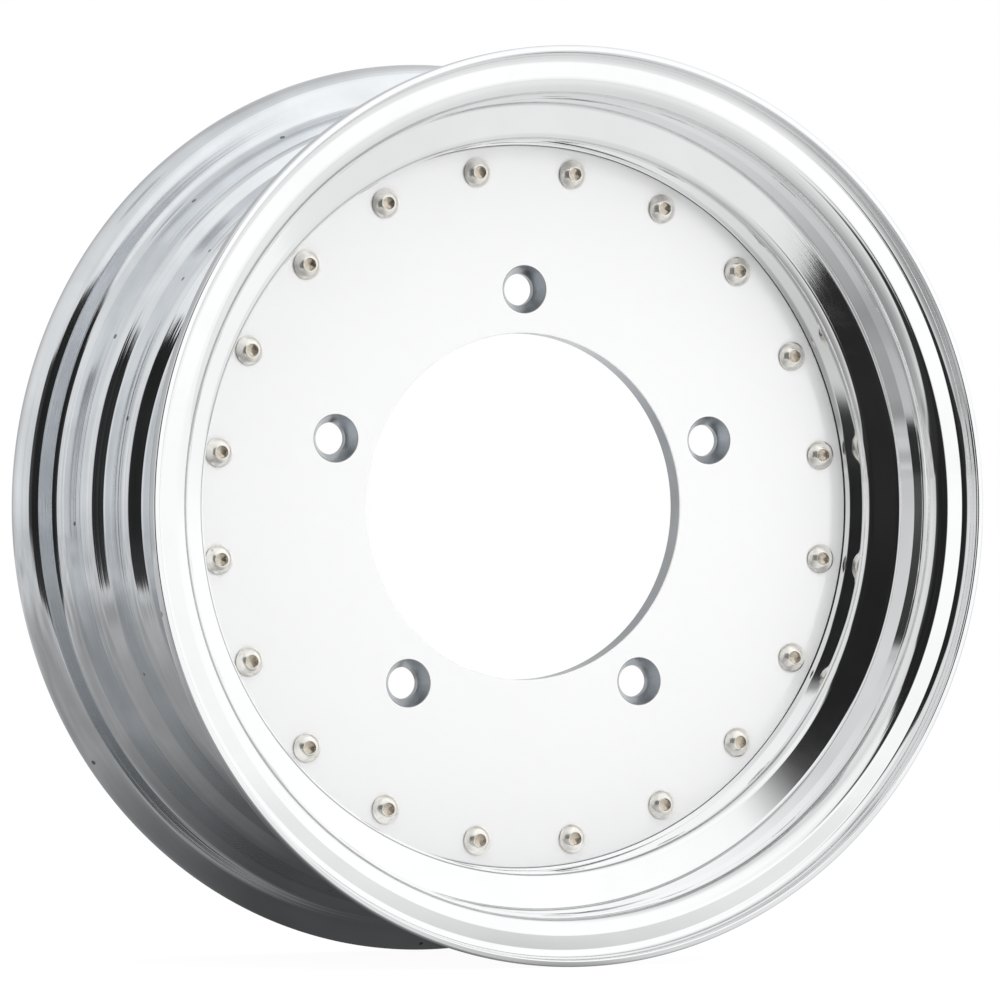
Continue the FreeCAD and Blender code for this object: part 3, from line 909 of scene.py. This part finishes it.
# The floor as metal sees it, a painted glow, in metres: the wheel's painted shadow, the open floor beyond
# and the screen's foot.
PAINTED_SHADOW_PLACE = (-0.04, 0.06)
PAINTED_SHADOW_EDGE = (0.05, 0.25)
OPEN_FLOOR = (0.1, 1.05)
SCREEN_FOOT = (0.86, 1.02)
SCREEN_FOOT_LEVEL = 0.03
# Its painted brightness close by, darker on the left and lighter on the right, and the x between which one
# becomes the other.
FLOOR_CLOSE = (0.26, 0.74)
CLOSE_SIDES = (-0.2, 0.15)
FAR_SIDES = (-0.6, 0.4)
# How strongly the far left of the floor varies from patch to patch.
FLOOR_PATCHES = 1.5
# Name, place, size and watts of each lamp.
LAMPS = (
    ("overhead_softbox", (0.2, -0.3, 1.9), 1.4, 6.0),
    ("front_softbox", (0.45, -1.1, 0.36), 0.8, 4.8))


class WHEEL_OT_studio(bpy.types.Operator):
    """Makes the pale floor, the bright room with its dark screen, two soft lamps and the camera."""

    bl_idname = "wheel.studio"
    bl_label = "Studio"

    def execute(self, context):
        look = context.scene.wheel_studio
        white_room(context.scene, look)
        pale_floor(look)
        for name, place, size, watts in LAMPS:
            soft_lamp(name, place, size, watts)
        aim_camera(context.scene, look)
        context.scene.view_settings.view_transform = "Standard"
        return {"FINISHED"}


def sum_of(tree, operation, *values):
    """Math node whose inputs are sockets or plain numbers; returns its output."""
    node = node_in(tree, "ShaderNodeMath", {"operation": operation})
    for socket, value in zip(node.inputs, values):
        if isinstance(value, (int, float)):
            socket.default_value = value
        else:
            tree.links.new(value, socket)
    return node.outputs[0]


def soft_step(tree, value, low, high):
    """Smooth rise from 0 at low to 1 at high."""
    node = node_in(tree, "ShaderNodeMapRange", {"interpolation_type": "SMOOTHSTEP"}, {
        "From Min": low, "From Max": high})
    tree.links.new(value, node.inputs["Value"])
    return node.outputs[0]


def level_ramp(tree, share, levels):
    """Gray ramp over the whole turn; levels are pairs of azimuth in degrees and brightness."""
    ramp = node_in(tree, "ShaderNodeValToRGB")
    tree.links.new(share, ramp.inputs["Fac"])
    stops = ramp.color_ramp.elements
    while len(stops) < len(levels):
        stops.new(0.5)
    for stop, (angle, level) in zip(stops, levels):
        stop.position = angle / 360.0 + 0.5
        stop.color = (level, level, level, 1.0)
    return ramp.outputs["Color"]


def blend_of(tree, share, first, second):
    """Mix of two values, sockets or plain numbers, by a share."""
    node = node_in(tree, "ShaderNodeMix", {"data_type": "FLOAT"})
    for name, value in (("Factor", share), ("A", first), ("B", second)):
        if isinstance(value, (int, float)):
            node.inputs[name].default_value = value
        else:
            tree.links.new(value, node.inputs[name])
    return node.outputs["Result"]


def within_turn(tree, azimuth, left, right):
    """1 between two azimuths and 0 outside them, with edges 6 degrees soft."""
    after = soft_step(tree, azimuth, left - 3.0, left + 3.0)
    before = soft_step(tree, azimuth, right + 3.0, right - 3.0)
    return sum_of(tree, "MULTIPLY", after, before)


def azimuth_of(tree, apart):
    """Degrees from the front, plus to the right, of a direction or place taken apart into x, y and z."""
    ahead = sum_of(tree, "MULTIPLY", apart.outputs["Y"], -1.0)
    return sum_of(tree, "MULTIPLY", sum_of(tree, "ARCTAN2", apart.outputs["X"], ahead), math.degrees(1.0))


def white_room(scene, look):
    """World of a bright room, and plain white where the camera sees it.

    With azimuth a and elevation e in degrees, the level follows ROOM_LEVELS at eye level, ROOM_UPPER
    above it and the ceiling's level overhead, and is lower on the beam. A dark screen stands in front
    between two azimuths. Its ragged top is highest at SCREEN_PEAK and falls to both sides.
    """
    world = bpy.data.worlds.new("white_room")
    scene.world = world
    world.use_nodes = True
    tree = world.node_tree
    tree.nodes.clear()
    out = node_in(tree, "ShaderNodeOutputWorld")
    where = node_in(tree, "ShaderNodeTexCoord")
    path = node_in(tree, "ShaderNodeLightPath")
    apart = node_in(tree, "ShaderNodeSeparateXYZ")
    rough = node_in(tree, "ShaderNodeTexNoise", None, {"Scale": 9.0, "Detail": 3.0, "Roughness": 0.6})
    wire(tree, (where, "Generated", apart, 0), (where, "Generated", rough, "Vector"))
    azimuth = azimuth_of(tree, apart)
    height = sum_of(tree, "MULTIPLY", sum_of(tree, "ARCSINE", apart.outputs["Z"]), math.degrees(1.0))
    share = sum_of(tree, "MULTIPLY_ADD", azimuth, 1 / 360.0, 0.5)
    low = level_ramp(tree, share, ROOM_LEVELS)
    high = level_ramp(tree, share, ROOM_UPPER)
    wall = blend_of(tree, soft_step(tree, height, *UPPER_WALL), low, high)
    room = blend_of(tree, soft_step(tree, height, *CEILING), wall, look.ceiling_level)
    above = soft_step(tree, height, *HORIZON)
    dim = sum_of(tree, "MULTIPLY_ADD", above, HORIZON_LOSS, 1.0 - HORIZON_LOSS)
    edges = sum_of(tree, "MULTIPLY", soft_step(tree, height, *BEAM_LOW), soft_step(tree, height, *BEAM_HIGH))
    beam = sum_of(tree, "MULTIPLY", within_turn(tree, azimuth, *BEAM_TURN), edges)
    bright = sum_of(
        tree, "MULTIPLY", sum_of(tree, "MULTIPLY", room, dim),
        sum_of(tree, "MULTIPLY_ADD", beam, -BEAM_DEPTH, 1.0))
    ragged = sum_of(tree, "MULTIPLY_ADD", rough.outputs["Fac"], SCREEN_RAGGED, SCREEN_TOP)
    turned = sum_of(tree, "SUBTRACT", azimuth, SCREEN_PEAK)
    fall = sum_of(tree, "MULTIPLY", sum_of(tree, "MAXIMUM", turned, 0.0), SCREEN_FALL)
    rise = sum_of(tree, "MULTIPLY", sum_of(tree, "MINIMUM", turned, 0.0), SCREEN_RISE)
    top = sum_of(tree, "ADD", sum_of(tree, "SUBTRACT", ragged, fall), rise)
    below = soft_step(tree, sum_of(tree, "SUBTRACT", top, height), -1.5, 1.5)
    span = within_turn(tree, azimuth, look.screen_left, look.screen_right)
    screen = sum_of(tree, "MULTIPLY", below, span)
    aside = sum_of(tree, "ABSOLUTE", sum_of(tree, "ADD", azimuth, 5.0))
    faint = sum_of(tree, "MULTIPLY_ADD", rough.outputs["Fac"], 0.026, 0.004)
    dark = sum_of(tree, "MULTIPLY_ADD", soft_step(tree, aside, 25.0, 46.0), 0.04, faint)
    level = blend_of(tree, screen, bright, dark)
    seen = node_in(tree, "ShaderNodeBackground", None, {"Color": (1, 1, 1, 1), "Strength": 1.0})
    lit = node_in(tree, "ShaderNodeBackground", None, {"Strength": look.light_level})
    mix = node_in(tree, "ShaderNodeMixShader")
    tree.links.new(level, lit.inputs["Color"])
    wire(tree, (path, "Is Camera Ray", mix, "Fac"), (lit, 0, mix, 1), (seen, 0, mix, 2),
         (mix, 0, out, "Surface"))


def pale_floor(look):
    """Round pale floor under the wheel, nearly white to the eye, with the wheel's shadow on it.

    Metal sees a painted glow in its place: dark under the wheel as a painted shadow, brighter further
    out and to the right as painted light, patchy on the left, and painted dark again from the screen's foot
    on.
    """
    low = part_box("outer_rim_half")[0][2]
    steps = 96
    ring = np.array([0.3, 0.6, 1.0, 1.6, 2.4])[:, None]
    a = np.arange(steps) * 2 * np.pi / steps
    points = np.stack([ring * np.cos(a), ring * np.sin(a), 0 * ring * a + low], axis=2).reshape(-1, 3)
    points = np.concatenate([points, [[0.0, 0.0, low]]])
    grid = np.arange(steps * len(ring)).reshape(-1, steps)
    tip = np.full(steps, len(points) - 1)
    quads = np.concatenate([
        bands(grid), np.stack([np.roll(grid[0], -1), grid[0], tip, tip], axis=1)])
    normals = np.tile([0.0, 0.0, 1.0], (len(points), 1))
    material, tree, shader = new_material("pale_floor")
    out = next(node for node in tree.nodes if node.type == "OUTPUT_MATERIAL")
    shader.inputs["Base Color"].default_value = (0.86, 0.86, 0.86, 1.0)
    shader.inputs["Roughness"].default_value = 0.9
    shader.inputs["Specular IOR Level"].default_value = 0.0
    glow = node_in(tree, "ShaderNodeEmission", None, {"Color": (1, 1, 1, 1), "Strength": 1.06})
    # Glow that metal sees in place of the floor, with painted shadow, painted shade and painted light; it is
    # no lamp.
    painted_floor_glow = node_in(tree, "ShaderNodeEmission")
    path = node_in(tree, "ShaderNodeLightPath")
    where = node_in(tree, "ShaderNodeTexCoord")
    apart = node_in(tree, "ShaderNodeSeparateXYZ")
    away = node_in(tree, "ShaderNodeVectorMath", {"operation": "DISTANCE"}, {1: (*PAINTED_SHADOW_PLACE, low)})
    from_middle = node_in(tree, "ShaderNodeVectorMath", {"operation": "DISTANCE"}, {1: (0.0, 0.0, low)})
    patch = node_in(tree, "ShaderNodeTexNoise", None, {"Scale": 3.2, "Detail": 4.0, "Roughness": 0.65})
    wire(tree, *((where, "Object", node, 0) for node in (apart, away, from_middle, patch)))
    aside = soft_step(tree, apart.outputs["X"], *FAR_SIDES)
    far = blend_of(tree, aside, look.floor_left, look.floor_right)
    close = blend_of(tree, soft_step(tree, apart.outputs["X"], *CLOSE_SIDES), *FLOOR_CLOSE)
    open_floor = blend_of(tree, soft_step(tree, away.outputs["Value"], *OPEN_FLOOR), close, far)
    # Painted shadow of the wheel: the glow darkens towards its place under the wheel.
    lit = soft_step(tree, away.outputs["Value"], *PAINTED_SHADOW_EDGE)
    even = blend_of(tree, lit, look.painted_floor_shadow, open_floor)
    spread = sum_of(tree, "MULTIPLY", sum_of(tree, "SUBTRACT", 1.0, aside), FLOOR_PATCHES)
    uneven = sum_of(tree, "MULTIPLY", sum_of(tree, "SUBTRACT", patch.outputs["Fac"], 0.5), spread)
    pale = sum_of(tree, "MULTIPLY", even, sum_of(tree, "ADD", uneven, 1.0))
    span = within_turn(tree, azimuth_of(tree, apart), look.screen_left, look.screen_right - 4.0)
    foot = soft_step(tree, from_middle.outputs["Value"], *SCREEN_FOOT)
    screen = sum_of(tree, "MULTIPLY", span, foot)
    level = blend_of(tree, screen, pale, SCREEN_FOOT_LEVEL)
    seen = node_in(tree, "ShaderNodeMixShader")
    mix = node_in(tree, "ShaderNodeMixShader")
    tree.links.new(level, painted_floor_glow.inputs["Color"])
    tree.links.new(sum_of(tree, "MULTIPLY", path.outputs["Is Camera Ray"], 0.9), seen.inputs["Fac"])
    wire(tree, (shader, 0, seen, 1), (glow, 0, seen, 2), (path, "Is Glossy Ray", mix, "Fac"),
         (seen, 0, mix, 1), (painted_floor_glow, 0, mix, 2), (mix, 0, out, "Surface"))
    piece_from("floor", points, quads, normals, None, [material])


def soft_lamp(name, place, size, watts):
    """Square softbox aimed at the wheel; metal doesn't mirror it."""
    lamp = bpy.data.lights.new(name, "AREA")
    lamp.size = size
    lamp.energy = watts
    thing = bpy.data.objects.new(name, lamp)
    thing.location = place
    thing.rotation_euler = Vector(place).to_track_quat("Z", "Y").to_euler()
    thing.visible_glossy = False
    bpy.context.scene.collection.objects.link(thing)


def aim_camera(scene, look):
    """Camera on a line turned by yaw and pitch from the disc's axis, aimed a little beside its centre."""
    yaw, pitch = look.camera_yaw, look.camera_pitch
    turn = Matrix.Rotation(pitch, 3, "X") @ Matrix.Rotation(yaw, 3, "Y")
    right, up, back = (turn[k].copy() for k in range(3))
    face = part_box("outer_rim_half")[0][1] + scene.wheel_sizes.disc_setback
    spot = back * look.camera_distance - right * look.aim_left + up * look.aim_up
    data = bpy.data.cameras.new("camera")
    data.sensor_width = 36.0
    data.lens = look.lens
    data.clip_start = 0.05
    data.clip_end = 50.0
    eye = bpy.data.objects.new("camera", data)

    def to_row(v):
        return (v[0], -v[2], v[1])

    place = Matrix.Identity(4)
    for column, axis in enumerate((right, up, back)):
        for line, part in enumerate(to_row(axis)):
            place[line][column] = part
    x, y, z = to_row(spot)
    place.translation = (x, y + face, z)
    eye.matrix_world = place
    scene.collection.objects.link(eye)
    scene.camera = eye


PIECES = (
    WHEEL_OT_rim_halves, WHEEL_OT_center_disc, WHEEL_OT_rim_screws, WHEEL_OT_rim_nuts,
    WHEEL_OT_seam_sealant, WHEEL_OT_studio)


class WHEEL_PT_pieces(bpy.types.Panel):
    """Lists the wheel's pieces and the studio."""

    bl_idname = "WHEEL_PT_pieces"
    bl_label = "Spun wheel"
    bl_space_type = "VIEW_3D"
    bl_region_type = "UI"
    bl_category = "Wheel"

    def draw(self, context):
        for piece in PIECES:
            self.layout.operator(piece.bl_idname)


CLASSES = (WheelSizes, WheelFinish, StudioLook) + PIECES + (WHEEL_PT_pieces,)


def register():
    for cls in CLASSES:
        bpy.utils.register_class(cls)
    bpy.types.Scene.wheel_sizes = bpy.props.PointerProperty(type=WheelSizes)
    bpy.types.Scene.wheel_finish = bpy.props.PointerProperty(type=WheelFinish)
    bpy.types.Scene.wheel_studio = bpy.props.PointerProperty(type=StudioLook)


def unregister():
    del bpy.types.Scene.wheel_studio
    del bpy.types.Scene.wheel_finish
    del bpy.types.Scene.wheel_sizes
    for cls in reversed(CLASSES):
        bpy.utils.unregister_class(cls)


def main():
    register()
    bpy.ops.wheel.rim_halves()
    bpy.ops.wheel.center_disc()
    bpy.ops.wheel.rim_screws()
    bpy.ops.wheel.rim_nuts()
    bpy.ops.wheel.seam_sealant()
    bpy.ops.wheel.studio()


if __name__ == "__main__":
    main()
